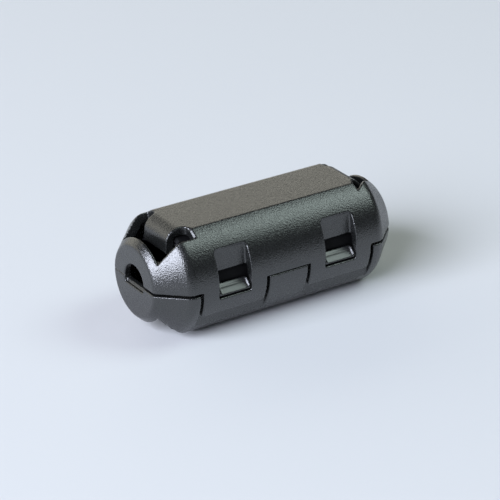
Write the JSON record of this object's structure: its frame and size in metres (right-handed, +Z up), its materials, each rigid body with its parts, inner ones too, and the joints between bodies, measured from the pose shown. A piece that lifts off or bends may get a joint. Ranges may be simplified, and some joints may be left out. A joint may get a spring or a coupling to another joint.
{
  "type": "clip-on ferrite bead",
  "caption": "Split ferrite sleeve in a round hinged snap-shut case with tapered ends, clipped over a cable to damp radio interference.",
  "frame": {"origin": "middle of the cable bore, on its axis and in the parting plane of the two shells", "axes": "+X along the cable, -Y towards the latches, +Y towards the hinge, +Z up through the upper shell's flat"},
  "size_m": [0.0338, 0.0158, 0.0132],
  "materials": {
    "case": "spark-eroded satin moulding",
    "ferrite": "sintered and ground ferrite ceramic"
  },
  "bodies": {
    "base": {"lower_shell": "case", "lower_core": "ferrite", "living_hinge_left": "case", "living_hinge_right": "case", "cable_grip_left": "case", "cable_grip_right": "case"},
    "lid": {"upper_shell": "case", "upper_core": "ferrite"}
  },
  "joints": [
    {"name": "lid_hinge", "type": "hinge", "parent": "base", "child": "lid", "pos_m": [0, 0.00775, 0], "axis": [-1, 0, 0], "range_deg": [0, 180], "deforming": ["living_hinge_left", "living_hinge_right", "cable_grip_left", "cable_grip_right"]}
  ]
}
